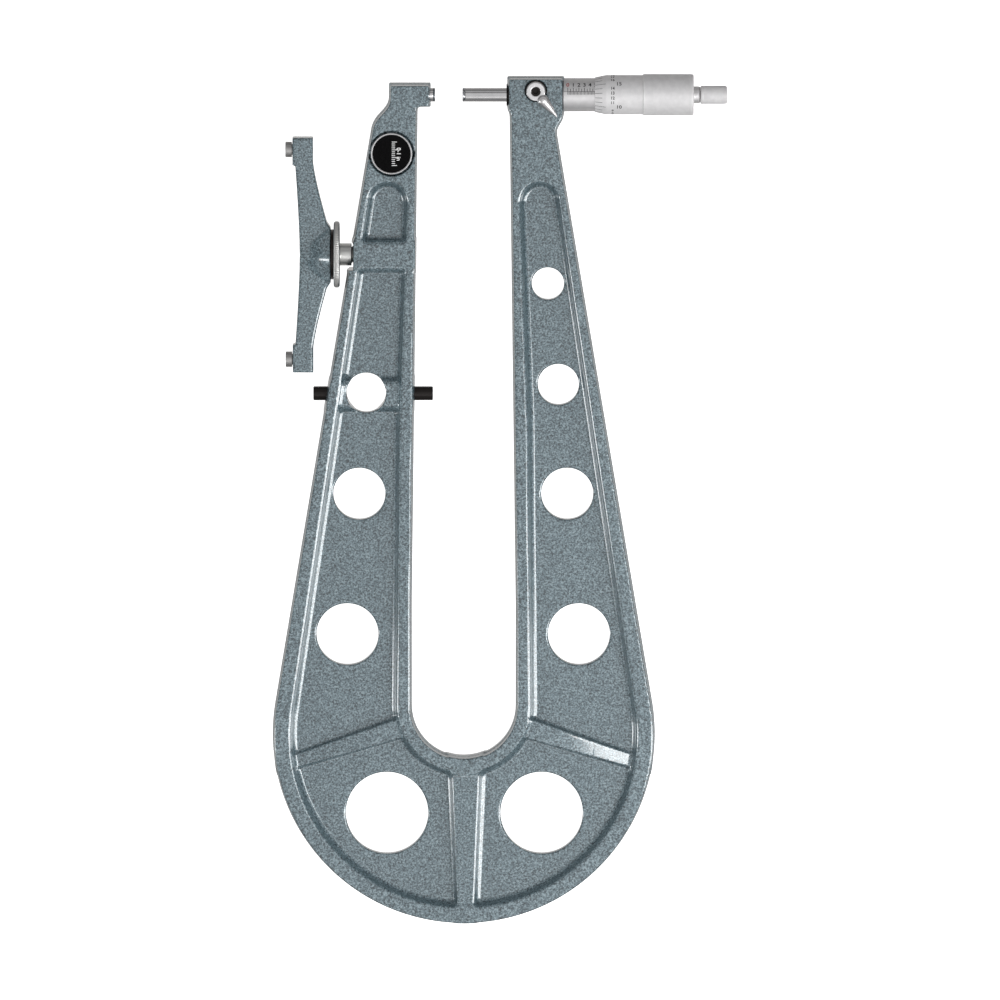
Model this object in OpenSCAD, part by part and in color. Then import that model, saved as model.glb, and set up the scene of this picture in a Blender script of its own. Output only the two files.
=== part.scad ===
// Deep-throat outside micrometer, inch pattern, lying on its back.
// Drawn with the centre of the frame's round end at the origin, the two arms along +Y,
// the measuring axis along +X and the front face towards +Z, then moved to its base centre.

/* [Frame] */
// Distance from the centre of the round end to the measuring axis
spindle_y = 294.5; // [292:0.5:297]
// Radius of the frame's round end
bulge_r = 87.5; // [87:0.5:88.5]
// Slope of an arm's outer edge, in degrees from the frame's long axis
arm_slope = 9.5; // [9.3:0.1:9.6]
// Half the width of the throat at its round bottom
throat_r = 24.2; // [24:0.1:24.6]
// Centre of the throat's round bottom
throat_y = 13.3; // [12.5:0.1:14]
// Half the width of the throat at the heads
throat_top = 21.4; // [21.2:0.1:21.6]
// Thickness of the rims and heads
frame_t = 18; // [17.6:0.2:18.4]
// Thickness of the web
web_t = 6; // [5:0.5:7]
// Radius of the web pocket around the round end
pocket_r = 79.7; // [78:0.1:80]
// Width of the rim around the throat
throat_rim = 6.4; // [6:0.1:6.8]
// Height of the ribs, front to back
rib_t = 16; // [14:0.5:17]

/* [Measuring parts] */
// Diameter of the spindle and anvil
spindle_d = 6.35; // [6.3:0.05:6.4]
// Opening between anvil and spindle, the reading of 0.4885 inch
rest_gap = 12.408; // [12:0.001:12.9]
// Place of the anvil's measuring face
anvil_x = -13; // [-13.5:0.1:-12.5]
// Outer diameter of the graduated sleeve
sleeve_d = 15.35; // [15:0.05:15.6]
// Diameter of the thimble behind its cone
thimble_d = 18.15; // [18:0.05:18.3]
// Length of the thimble
thimble_l = 45.3; // [45:0.1:45.6]
// Diameter of the ratchet knob
knob_d = 8.45; // [8.4:0.05:8.6]
// Length of the ratchet knob
knob_l = 12.2; // [12:0.1:12.4]

/* [Clamp] */
// Place of the clamp screw along the measuring axis
clamp_x = 33; // [32:0.5:34]
// Length of the lever from the screw to its tip
lever_l = 15.4; // [15:0.1:16]
// Direction of the lever, in degrees from the measuring axis
lever_angle = -50.5; // [-60:0.5:-40]

/* [Stand] */
// Height of the stand's stud on the frame
stud_y = 221.1; // [220:0.1:222]
// Diameter of the stud's thread
stud_d = 8; // [7.6:0.2:8]
// Distance between the two feet
feet_span = 96.6; // [96:0.2:97]
// Diameter of the knurled lock nut
nut_d = 30.6; // [30:0.2:31]

/* [Rest pins] */
// Diameter of the pins
pin_d = 6.5; // [6.4:0.1:6.6]
// Height of the pins on the frame
pin_y = 157.1; // [156.8:0.1:157.4]

/* [Hidden] */
$fn = 64;
half_t = frame_t / 2;
half_web = web_t / 2;
running = 0.03;

// Arms: outer edge tangent to the round end, inner edge tapering to the heads
tangent = [bulge_r * cos(arm_slope), bulge_r * sin(arm_slope)];
taper_y = 61;
head_y = 287;
pocket_slope = 8.42;
pocket_tangent = [pocket_r * cos(pocket_slope), pocket_r * sin(pocket_slope)];
pocket_top = 246;
pocket_end_r = 9;
pocket_in_top = 25.6;
pocket_in_mid = [29.3, 145.4];

// Heads
block_x0 = 20.3;
block_x1 = 45.7;
block_top = 302.8;
anvil_head_x0 = -33.9;
anvil_head_x1 = -15.4;
anvil_head_top = 299.8;
anvil_head_bottom = 289.4;
anvil_fillet = 1.6;

// Lightening holes: place and radius, one list for each arm
right_holes = [[38.6, 207.9, 7.4], [43.4, 161.4, 9.4], [47.5, 111, 11.9], [52.9, 46.1, 14.2]];
left_holes = [[-44.7, 157.7, 9.1], [-47.9, 111, 11.9], [-53.4, 46.1, 14.2]];
bulge_hole_r = 18.9;
bulge_holes = [[35.8, -36.6], [-35.3, -36.6]];
rib_shift = 0.9;

// Measuring parts along the measuring axis, at rest
spindle_r = spindle_d / 2;
tip_l = 1.4;
anvil_back = -27;
face_x = anvil_x + rest_gap;
barrel_r = 5;
barrel_x0 = 24;
barrel_x1 = 84.5;
barrel_out_r = 5.5;
flange_x = 19.6;
flange_r = 5.1;
guide_x1 = 40;
nut_x0 = 66;
thread_r = 3.75;
thread_x0 = 53;
sleeve_r = sleeve_d / 2;
sleeve_x1 = 79;
adjuster_x0 = 79.2;
adjuster_x1 = 84.2;
zero_x = 47.66;
thimble_x = zero_x + rest_gap;
thimble_end = thimble_x + thimble_l;
thimble_r = thimble_d / 2;
bore_r = sleeve_r + 0.175;
cone_l = 5.05;
knurl_x = thimble_x + 22;
knurl_r = thimble_r + 0.475;
seat_x0 = thimble_end - 7.4;
seat_x1 = thimble_end - 1.9;
seat_r = 5;

// Ratchet
neck_r = 3.9;
knob_x = thimble_end + 3.2;
knob_end = knob_x + knob_l;
knob_r = knob_d / 2;
spigot_r = 1.9;
spigot_end = knob_x + 9.2;
cavity_r = 3.4;
cavity_end = knob_x + 8;
head_seat = knob_x + 9.5;
crown_teeth = 12;
spring_wire = 0.6;
spring_r = 2.75;
spring_turns = 4;

// Clamp: the screw stands to one side of the measuring axis and works on the spindle's flank
clamp_y = spindle_y + 2.6;
clamp_screw_r = 2;
clamp_hub_r = 4.35;
clamp_hub_z0 = half_t + 0.4;
clamp_hub_z1 = half_t + 4.6;
clamp_seat_r = 5.1;
clamp_head_r = 2.6;
clamp_head_t = 3.6;
clamp_socket_r = 1.5;
clamp_socket_z = half_t + 1.6;
lever_root = 2.6;
clamp_screw_z = 5.6;
shoe_z = 1.7;

// Stand and its lock nut along the stud
spot_x = -50.6;
spot_half = 6.6;
stud_r = stud_d / 2;
stud_in = -31;
boss_r = 8.4;
nut_r = nut_d / 2;
nut_hub_x = -51.4;
nut_disc_x1 = -56.8;
nut_disc_x0 = -59.6;
nut_hub_r = 5.1;
stand_face = -60.9;
stand_back = -78.7;
stand_boss_r = 11;
stand_half_t = 5.5;
foot_x = -81.7;
foot_r = 3.6;
foot_half = feet_span / 2;

// Rest pins and their screws
pin_r = pin_d / 2;
pin_boss_r = 7.5;
inner_pin = [-34.2, -14.1];
outer_pin = [-69, -54.2];
pin_screw_r = 1.5;
pin_screw_sunk = 0.8;
pin_socket_r = 0.85;
pin_screw_x = [-29, -58];

// Name plate
plate_c = [-33, 268.2];
plate_recess_r = 10.3;
plate_r = 9.8;
plate_disc_r = 8.7;
plate_floor = half_t - 0.8;

// Whole box, for the origin at the centre of the base
x_min = -bulge_r;
x_max = knob_end;
y_min = -bulge_r;
y_max = spindle_y + knurl_r;
origin = [(x_min + x_max) / 2, (y_min + y_max) / 2, -nut_r];

function outer_x(y) = tangent[0] - (y - tangent[1]) * tan(arm_slope);
function pocket_x(y) = pocket_tangent[0] - (y - pocket_tangent[1]) * tan(pocket_slope);
function throat_x(y) = y < taper_y ? throat_r :
    throat_r - (throat_r - throat_top) * (y - taper_y) / (head_y - taper_y);
function arc(c, r, a0, a1, n = 12) = [for (i = [0:n])
    [c[0] + r * cos(a0 + (a1 - a0) * i / n), c[1] + r * sin(a0 + (a1 - a0) * i / n)]];
function bezier(a, b, c, d, n = 12) = [for (i = [0:n]) let (t = i / n, u = 1 - t)
    u * u * u * a + 3 * u * u * t * b + 3 * u * t * t * c + t * t * t * d];
function flip(points) = [for (p = points) [-p[0], p[1]]];

// Moves a piece from the drawing origin to the base centre
module place() {
    translate(-origin) children();
}

// A slab about the middle plane
module slab(t) {
    linear_extrude(height = t, center = true) children();
}

// A turned piece about an axis along X; the profile is [place along X, radius]
module turned(profile, y = spindle_y) {
    translate([0, y, 0]) rotate([0, 90, 0]) rotate_extrude()
        polygon([for (p = profile) [p[1], p[0]]]);
}

// A round bar or hole along X from x0 to x1
module bar(x0, x1, r, y = spindle_y) {
    translate([x0, y, 0]) rotate([0, 90, 0]) cylinder(r = r, h = x1 - x0);
}

module tube(x0, x1, r_in, r_out, y = spindle_y) {
    turned([[x0, r_in], [x1, r_in], [x1, r_out], [x0, r_out]], y);
}

// Outer side of the spindle head, from the right arm up and over to the throat
spindle_head = concat(
    bezier([outer_x(276), 276], [outer_x(276) - 0.8, 281], [block_x1, 281], [block_x1, 287.3]),
    arc([block_x1 - 1.5, block_top - 1.5], 1.5, 0, 90, 6),
    arc([block_x0 + 1.5, block_top - 1.5], 1.5, 90, 180, 6),
    bezier([block_x0, 289.6], [block_x0, 286.5], [throat_x(head_y), 287.5],
        [throat_x(head_y), 284]));

// Anvil head, from the throat up and over to the left arm
anvil_head = concat(
    arc([anvil_fillet - throat_top, anvil_head_bottom - anvil_fillet], anvil_fillet, 180, 90, 6),
    [[anvil_head_x1, anvil_head_bottom], [anvil_head_x1, anvil_head_top - 1.2],
     [anvil_head_x1 - 1.2, anvil_head_top], [anvil_head_x0 + 2, anvil_head_top],
     [anvil_head_x0, anvil_head_top - 2]],
    bezier([anvil_head_x0, 294], [anvil_head_x0, 287], [-41.2, 286.5], [-outer_x(278), 278]));

module outline_2d() {
    polygon(concat(arc([0, 0], bulge_r, 180 - arm_slope, 360 + arm_slope, 80), spindle_head,
        [[throat_r, taper_y]], arc([0, throat_y], throat_r, 0, -180, 24), [[-throat_r, taper_y]],
        anvil_head));
}

// The web pocket: round the throat, up both arms and around the round end
module pockets_2d() {
    top = [(pocket_in_top + pocket_x(pocket_top)) / 2, pocket_top];
    polygon(concat(arc([0, 0], pocket_r, 180 - pocket_slope, 360 + pocket_slope, 72),
        arc(top, pocket_end_r, 15, 165), [[pocket_in_top, pocket_top], pocket_in_mid],
        arc([0, throat_y], throat_r + throat_rim, 0, -180, 24),
        flip([pocket_in_mid, [pocket_in_top, pocket_top]]),
        flip(arc(top, pocket_end_r, 165, 15))));
}

// Rib on one side of the round end, from the throat rim to the outer rim
module side_rib_2d() {
    polygon([[28.6, 6.4], [33, 6.6], [79, -9.8], [82, -12], [78, -15.8], [74, -15.2],
        [31, -2], [27.5, -4.5]]);
}

module ribs_2d() {
    side_rib_2d();
    mirror([1, 0]) side_rib_2d();
    polygon([[rib_shift - 6.6, -14], [rib_shift - 6.2, -20], [rib_shift - 3.8, -80],
        [rib_shift + 3.8, -80], [rib_shift + 6.2, -20], [rib_shift + 6.6, -14]]);
}

module round_holes(list, r = 0) {
    for (h = list) translate([h[0], h[1], 0])
        cylinder(r = r == 0 ? h[2] : r, h = frame_t + 2, center = true);
}

// One cross boss through an arm, kept within the frame's outline
module cross_boss(y, r) {
    intersection() {
        bar(-65, -22, r, y);
        slab(frame_t) outline_2d();
    }
}

module frame_casting() {
    difference() {
        slab(frame_t) outline_2d();
        for (side = [0, 1]) mirror([0, 0, side])
            translate([0, 0, half_web]) linear_extrude(height = half_t) pockets_2d();
    }
    slab(rib_t) ribs_2d();
    cross_boss(stud_y, boss_r);
    cross_boss(pin_y, pin_boss_r);
}

module frame() {
    color([0.43, 0.53, 0.56]) place() difference() {
        frame_casting();
        round_holes(right_holes);
        round_holes(left_holes);
        round_holes(bulge_holes, bulge_hole_r);
        // seats of the anvil and of the spindle's barrel
        bar(anvil_back, anvil_head_x1 + 1, spindle_r);
        bar(block_x0 - 1, block_x1 + 1, barrel_r);
        // hole and seat of the clamp screw
        translate([clamp_x, clamp_y, 0]) cylinder(r = clamp_screw_r + running, h = half_t + 1);
        translate([clamp_x, clamp_y, half_t - 0.6]) cylinder(r = clamp_seat_r, h = 2);
        // spot face and bore of the stand's stud
        translate([spot_x - 10, stud_y - spot_half, -half_t - 1])
            cube([10, 2 * spot_half - 1, frame_t + 2]);
        bar(spot_x - 1, stud_in + 5, stud_r + running, stud_y);
        // bores of the rest pins and of their screws
        bar(-70, -20, pin_r + running, pin_y);
        for (x = pin_screw_x) translate([x, pin_y, -half_t - 1])
            cylinder(r = pin_screw_r, h = half_t + 1);
        // recess of the name plate
        translate([plate_c[0], plate_c[1], plate_floor]) cylinder(r = plate_recess_r, h = 2);
    }
}

module anvil() {
    color([0.78, 0.79, 0.8]) place() bar(anvil_back, anvil_x - 1, spindle_r);
}

module anvil_tip() {
    color([0.45, 0.46, 0.48]) place() bar(anvil_x - 1, anvil_x, spindle_r);
}

module plate_bezel() {
    color([0.8, 0.81, 0.82]) place() translate([plate_c[0], plate_c[1], plate_floor]) difference() {
        cylinder(r = plate_r, h = 1.2);
        translate([0, 0, -1]) cylinder(r = plate_disc_r, h = 3);
    }
}

module plate_disc() {
    color([0.05, 0.05, 0.06]) place() translate([plate_c[0], plate_c[1], plate_floor])
        cylinder(r = plate_disc_r, h = 0.8);
}

module spindle_bush() {
    color([0.07, 0.07, 0.08]) place() turned([[flange_x, spindle_r + running],
        [flange_x, flange_r], [block_x0, flange_r], [block_x0, barrel_r], [barrel_x0, barrel_r],
        [barrel_x0, spindle_r + running]]);
}

// Guide and nut of the spindle in one barrel, with the shoe's window in its front side
module inner_sleeve() {
    color([0.7, 0.7, 0.72]) place() difference() {
        turned([[barrel_x0, spindle_r + running], [barrel_x0, barrel_r], [block_x1, barrel_r],
            [block_x1, barrel_out_r], [barrel_x1, barrel_out_r], [barrel_x1, thread_r + 0.05],
            [nut_x0, thread_r + 0.05], [nut_x0 - 1, thread_r + 0.5],
            [guide_x1, thread_r + 0.5], [guide_x1, spindle_r + running]]);
        translate([clamp_x, clamp_y, shoe_z - 0.5]) cylinder(r = clamp_screw_r + running,
            h = half_t);
    }
}

module adjusting_nut() {
    color([0.6, 0.6, 0.62]) place() difference() {
        tube(adjuster_x0, adjuster_x1, barrel_out_r, 6.9);
        for (a = [0:90:270]) translate([0, spindle_y, 0]) rotate([a, 0, 0])
            translate([adjuster_x1 - 1.2, 6, -0.6]) cube([2, 2, 1.2]);
    }
}

module sleeve() {
    color([0.8, 0.81, 0.81]) place() tube(block_x1, sleeve_x1, barrel_out_r, sleeve_r);
}

module spindle_tip() {
    color([0.45, 0.46, 0.48]) place() bar(face_x, face_x + tip_l, spindle_r);
}

module spindle() {
    color([0.75, 0.76, 0.78]) place() turned([[face_x + tip_l, 0], [face_x + tip_l, spindle_r],
        [thread_x0, spindle_r], [thread_x0 + 0.6, thread_r], [seat_x0, thread_r],
        [seat_x0, seat_r], [seat_x1, seat_r], [seat_x1, 2.5], [seat_x0 - 2, 2.5],
        [seat_x0 - 2, 0]]);
}

module thimble() {
    color([0.82, 0.83, 0.83]) place() turned(concat([[thimble_x, bore_r],
        [thimble_x, bore_r + 0.1], [thimble_x + cone_l, thimble_r], [knurl_x - 0.5, thimble_r],
        [knurl_x - 0.5, thimble_r - 0.3], [knurl_x, thimble_r - 0.3], [knurl_x, knurl_r - 0.3],
        [knurl_x + 0.3, knurl_r]],
        [for (p = arc([thimble_end - 1.8, knurl_r - 1.8], 1.8, 90, 0, 8)) p],
        [[thimble_end, seat_r + 0.4], [thimble_end - 0.3, seat_r], [seat_x0, seat_r],
        [seat_x0, bore_r]]));
}

// Screws into the spindle, holds the thimble on its seat and carries the knob
module ratchet_body() {
    color([0.76, 0.77, 0.78]) place() difference() {
        turned([[seat_x0 - 2, 0], [seat_x0 - 2, 2.5], [seat_x1, 2.5], [seat_x1, seat_r],
            [thimble_end - 0.3, seat_r], [thimble_end - 0.3, neck_r],
            [thimble_end + 2.4, neck_r], [thimble_end + 2.4, spigot_r], [spigot_end, spigot_r],
            [spigot_end, 0]]);
        for (x = [0.5, 1.2, 1.9]) translate([thimble_end, 0, 0])
            tube(x, x + 0.3, neck_r - 0.25, neck_r + 1);
        bar(spigot_end - 4, spigot_end + 1, 0.9);
    }
}

module ratchet_screw() {
    color([0.7, 0.71, 0.73]) place() difference() {
        turned([[spigot_end - 4, 0], [spigot_end - 4, 0.9], [head_seat - 0.3, 0.9],
            [head_seat - 0.3, 1.6], [head_seat + 0.1, 1.6], [head_seat + 0.1, 2.6],
            [head_seat + 1.6, 2.6], [head_seat + 1.6, 0]]);
        translate([head_seat + 1, spindle_y - 3, -0.35]) cube([2, 6, 0.7]);
    }
}

// Toothed ring, keyed in the knob and pressed towards the neck by the spring
module ratchet_crown() {
    color([0.55, 0.55, 0.57]) place() {
        tube(knob_x + 0.9, knob_x + 2.1, spigot_r + 0.1, cavity_r - 0.05);
        for (i = [1:crown_teeth]) translate([knob_x + 0.95, spindle_y, 0])
            rotate([i * 360 / crown_teeth, 0, 0]) translate([0, 2.65, 0])
            slab(0.6) polygon([[0.1, -0.55], [0.1, 0.55], [-0.65, 0.5], [-0.65, -0.5]]);
    }
}

// Compression spring: a round wire swept along a helix of closed coils at both ends
module ratchet_spring() {
    x0 = knob_x + 2.1 + spring_wire / 2;
    x1 = cavity_end - spring_wire / 2;
    rings = 18 * spring_turns;
    sides = 8;
    points = [for (i = [0:rings]) let (a = 360 * spring_turns * i / rings,
            x = x0 + (x1 - x0) * i / rings) for (j = [0:sides - 1])
        let (b = 360 * j / sides, r = spring_r - cavity_r * 0.03 + spring_wire / 2 * cos(b))
        [x + spring_wire / 2 * sin(b), spindle_y + r * cos(a), r * sin(a)]];
    faces = concat([[for (j = [0:sides - 1]) sides - 1 - j]],
        [for (i = [0:rings - 1]) for (j = [0:sides - 1]) let (k = (j + 1) % sides)
            [i * sides + j, i * sides + k, (i + 1) * sides + k, (i + 1) * sides + j]],
        [[for (j = [0:sides - 1]) rings * sides + j]]);
    color([0.5, 0.5, 0.52]) place() polyhedron(points, faces);
}

module ratchet_knob() {
    color([0.78, 0.79, 0.8]) place() turned([[knob_x, cavity_r], [knob_x, knob_r - 0.3],
        [knob_x + 0.3, knob_r], [knob_end - 0.7, knob_r], [knob_end, knob_r - 0.7],
        [knob_end, 3], [head_seat, 3], [head_seat, 1.98], [cavity_end, 1.98],
        [cavity_end, cavity_r]]);
}

module clamp_seat() {
    color([0.08, 0.08, 0.09]) place() translate([clamp_x, clamp_y, half_t - 0.6]) difference() {
        cylinder(r = clamp_seat_r, h = 0.9);
        translate([0, 0, -1]) cylinder(r = clamp_screw_r + running, h = 3);
    }
}

module clamp_lever() {
    color([0.8, 0.81, 0.82]) place() translate([clamp_x, clamp_y, 0]) difference() {
        union() {
            translate([0, 0, clamp_hub_z0]) cylinder(r = clamp_hub_r,
                h = clamp_hub_z1 - clamp_hub_z0);
            rotate([0, 0, lever_angle]) translate([lever_root, 0, half_t + 2.5]) rotate([0, 90, 0])
                rotate_extrude() polygon([[0, 0], [2, 0], [2.05, 3], [1.5, 6.5],
                    [0.5, lever_l - lever_root - 0.6], [0.3, lever_l - lever_root],
                    [0, lever_l - lever_root]]);
        }
        translate([0, 0, half_t]) cylinder(r = clamp_head_r, h = 10);
    }
}

module clamp_screw() {
    color([0.12, 0.12, 0.13]) place() translate([clamp_x, clamp_y, 0]) difference() {
        union() {
            translate([0, 0, clamp_screw_z]) cylinder(r = clamp_screw_r,
                h = clamp_hub_z0 - clamp_screw_z);
            translate([0, 0, clamp_hub_z0]) cylinder(r = clamp_head_r, h = clamp_head_t);
        }
        translate([0, 0, clamp_socket_z]) cylinder(r = clamp_socket_r, h = 6, $fn = 6);
    }
}

// Brass pad between the screw and the spindle
module clamp_shoe() {
    color([0.72, 0.58, 0.3]) place() difference() {
        translate([clamp_x, clamp_y, shoe_z]) cylinder(r = clamp_screw_r - 0.1,
            h = clamp_screw_z - shoe_z);
        translate([clamp_x - 5, spindle_y, 0]) rotate([0, 90, 0])
            cylinder(r = spindle_r + running, h = 10);
    }
}

module stand_stud() {
    color([0.75, 0.76, 0.77]) place() bar(stand_face - 12, stud_in, stud_r, stud_y);
}

// Half of the stand's outline, above the stud
module stand_half_2d() {
    polygon(concat([[stand_back + 3.4, 0]],
        bezier([stand_back + 3.2, 6], [stand_back + 2.9, 16], [stand_back + 1.6, 28],
            [stand_back, foot_half - 6], 8),
        [[stand_back, foot_half + 5], [stand_back + 1, foot_half + 6],
         [stand_back + 9, foot_half + 6], [stand_back + 10, foot_half + 5]],
        bezier([stand_back + 10, foot_half - 5.5], [stand_back + 10.6, foot_half - 12],
            [stand_face - 4, 24], [stand_face - 1.6, 15.4], 8),
        [[stand_face, 12.6], [stand_face, 0]]));
}

module stand_body() {
    color([0.43, 0.53, 0.56]) place() translate([0, stud_y, 0]) difference() {
        union() {
            slab(2 * stand_half_t) stand_half_2d();
            mirror([0, 1, 0]) slab(2 * stand_half_t) stand_half_2d();
            translate([stand_face - 9, 0, 0]) rotate([0, 90, 0]) cylinder(r = stand_boss_r, h = 9);
        }
        translate([stand_face - 12, 0, 0]) rotate([0, 90, 0])
            cylinder(r = stud_r + running, h = 13);
        for (side = [-1, 1]) translate([stand_back - 1, side * foot_half, 0]) rotate([0, 90, 0])
            cylinder(r = 2.5, h = 8);
    }
}

module stand_foot(side) {
    color([0.6, 0.58, 0.55]) place() turned([[foot_x, 0], [foot_x, foot_r - 0.4],
        [foot_x + 0.4, foot_r], [stand_back, foot_r], [stand_back, 2.5], [stand_back + 7, 2.5],
        [stand_back + 7, 0]], stud_y + side * foot_half);
}

module stand_foot_upper() {
    stand_foot(1);
}

module stand_foot_lower() {
    stand_foot(-1);
}

module stand_washer() {
    color([0.08, 0.08, 0.09]) place() tube(stand_face, nut_disc_x0 - 0.1, stud_r + running,
        stand_boss_r + 0.5, stud_y);
}

module stand_lock_nut() {
    color([0.7, 0.7, 0.7]) place() turned(concat([[nut_disc_x0, stud_r + running],
        [nut_disc_x0, nut_r - 1.4]],
        arc([(nut_disc_x0 + nut_disc_x1) / 2, nut_r - 1.4], 1.4, 180, 0, 8),
        [[nut_disc_x1, nut_hub_r], [nut_hub_x, nut_hub_r], [nut_hub_x, stud_r + running]]),
        stud_y);
}

module rest_pin_inner() {
    color([0.1, 0.09, 0.08]) place() turned([[inner_pin[0], 0], [inner_pin[0], pin_r],
        [inner_pin[1] - 0.5, pin_r], [inner_pin[1], pin_r - 0.5], [inner_pin[1], 0]], pin_y);
}

module rest_pin_outer() {
    color([0.1, 0.09, 0.08]) place() turned([[outer_pin[0], 0], [outer_pin[0], pin_r - 0.5],
        [outer_pin[0] + 0.5, pin_r], [outer_pin[1], pin_r], [outer_pin[1], 0]], pin_y);
}

// Socket set screw from the back, against a pin
module pin_screw(x) {
    color([0.12, 0.12, 0.12]) place() translate([x, pin_y, pin_screw_sunk - half_t]) difference() {
        cylinder(r = pin_screw_r, h = half_t - pin_screw_sunk - pin_r - 0.05);
        translate([0, 0, -1]) cylinder(r = pin_socket_r, h = 2.4, $fn = 6);
    }
}

module pin_screw_inner() {
    pin_screw(pin_screw_x[0]);
}

module pin_screw_outer() {
    pin_screw(pin_screw_x[1]);
}

frame();
anvil();
anvil_tip();
plate_bezel();
plate_disc();
spindle_bush();
inner_sleeve();
adjusting_nut();
sleeve();
spindle_tip();
spindle();
thimble();
ratchet_body();
ratchet_screw();
ratchet_crown();
ratchet_spring();
ratchet_knob();
clamp_seat();
clamp_lever();
clamp_screw();
clamp_shoe();
stand_stud();
stand_body();
stand_foot_upper();
stand_foot_lower();
stand_washer();
stand_lock_nut();
rest_pin_inner();
rest_pin_outer();
pin_screw_inner();
pin_screw_outer();
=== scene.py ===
"""Looks of the deep-throat outside micrometer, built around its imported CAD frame."""
import math

import bmesh
import bpy
import numpy as np
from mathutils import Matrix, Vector


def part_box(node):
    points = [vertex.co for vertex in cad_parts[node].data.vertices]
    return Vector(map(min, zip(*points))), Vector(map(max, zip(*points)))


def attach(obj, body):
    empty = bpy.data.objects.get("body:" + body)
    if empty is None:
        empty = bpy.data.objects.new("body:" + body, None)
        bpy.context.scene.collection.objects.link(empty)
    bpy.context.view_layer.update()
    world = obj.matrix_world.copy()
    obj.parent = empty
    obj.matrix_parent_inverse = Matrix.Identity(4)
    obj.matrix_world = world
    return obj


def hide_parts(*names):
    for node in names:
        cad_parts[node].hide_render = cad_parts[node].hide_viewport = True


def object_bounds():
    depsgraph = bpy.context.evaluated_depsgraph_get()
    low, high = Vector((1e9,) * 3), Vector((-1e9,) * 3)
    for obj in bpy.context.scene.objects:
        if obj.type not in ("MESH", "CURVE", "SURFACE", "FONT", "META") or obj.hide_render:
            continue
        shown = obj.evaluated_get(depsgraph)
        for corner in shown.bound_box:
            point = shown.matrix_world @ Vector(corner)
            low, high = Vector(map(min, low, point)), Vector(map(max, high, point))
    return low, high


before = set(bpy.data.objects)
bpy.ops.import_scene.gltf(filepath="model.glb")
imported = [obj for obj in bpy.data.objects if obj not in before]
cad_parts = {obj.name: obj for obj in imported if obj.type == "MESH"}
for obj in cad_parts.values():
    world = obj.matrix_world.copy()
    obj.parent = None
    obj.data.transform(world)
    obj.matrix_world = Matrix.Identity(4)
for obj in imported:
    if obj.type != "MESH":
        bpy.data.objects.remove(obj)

CAD_LOW, CAD_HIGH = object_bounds()
MM = 0.001

# ---------------------------------------------------------------- places and sizes
# The castings are drawn in millimetres from the centre of the frame's round end,
# half way through its thickness; every other piece starts from its CAD node's box.
BULGE_R = 87.5
HALF_T = 9.0
HALF_WEB = 3.0
ORIGIN = np.array(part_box("frame")[0]) + np.array([BULGE_R, BULGE_R, HALF_T]) * MM


def design(node):
    """Lowest and highest corner of a CAD node, in millimetres of the casting's own frame."""
    low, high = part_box(node)
    return (np.array(low) - ORIGIN) / MM, (np.array(high) - ORIGIN) / MM


def middle(node):
    low, high = design(node)
    return (low + high) / 2


SPINDLE_Y = middle("sleeve")[1]
STUD_Y = middle("stand_stud")[1]
PIN_Y = middle("rest_pin_inner")[1]
CLAMP = middle("clamp_screw")
PLATE = middle("plate_disc")
HEAD_RIGHT = design("sleeve")[0][0]
HEAD_LEFT = design("spindle_bush")[0][0] + 0.7

# Frame outline
ARM_SLOPE = math.radians(9.5)
TANGENT = np.array([BULGE_R * math.cos(ARM_SLOPE), BULGE_R * math.sin(ARM_SLOPE)])
THROAT_R = 24.2
THROAT_Y = 13.3
THROAT_TOP = 21.4
TAPER_Y = 61.0
HEAD_Y = 287.0
HEAD_TOP = 302.8
ANVIL_TOP = 299.8
ANVIL_LOW = 289.4
ANVIL_FRONT = -15.4
ANVIL_BACK = -33.9
ANVIL_FILLET_R = 1.6
ANVIL_FILLET_Y = 287.8
ROUND_POINTS = 128
THROAT_POINTS = 40

# Frame pockets, holes and ribs
THROAT_RIM = 6.4
POCKET_R = 79.7
POCKET_SLOPE = math.radians(8.42)
POCKET_TANGENT = np.array([POCKET_R * math.cos(POCKET_SLOPE), POCKET_R * math.sin(POCKET_SLOPE)])
POCKET_TOP = 246.0
POCKET_END_R = 9.0
POCKET_IN_TOP = 25.6
POCKET_IN_MID = (29.3, 145.4)
HOLES = [(38.6, 207.9, 7.4), (43.4, 161.4, 9.4), (47.5, 111.0, 11.9), (52.9, 46.1, 14.2),
         (-44.7, 157.7, 9.1), (-47.9, 111.0, 11.9), (-53.4, 46.1, 14.2),
         (35.8, -36.6, 18.9), (-35.3, -36.6, 18.9)]
RIB_SHIFT = 0.9

# Frame section: drafts in mm to a mm of height, edge radii, rib heights and how softly they meet
WALL_DRAFT = 0.06
POCKET_DRAFT = 0.28
RIB_DRAFT = 0.14
OUTER_EDGE = 0.55
POCKET_EDGE = 0.95
HEAD_EDGE_CUT = 0.5
WEB_EDGE = 0.5
MID_RIB_DROP = 0.4
SIDE_RIB_DROP = 0.5
SIDE_RIB_FALL = 4.9
SIDE_RIB_TILT = 0.3
WEB_BLEND = 1.7
MID_RIB_BLEND = 2.4
SIDE_RIB_BLEND = 1.6
BOSS_BLEND = 2.0
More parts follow.
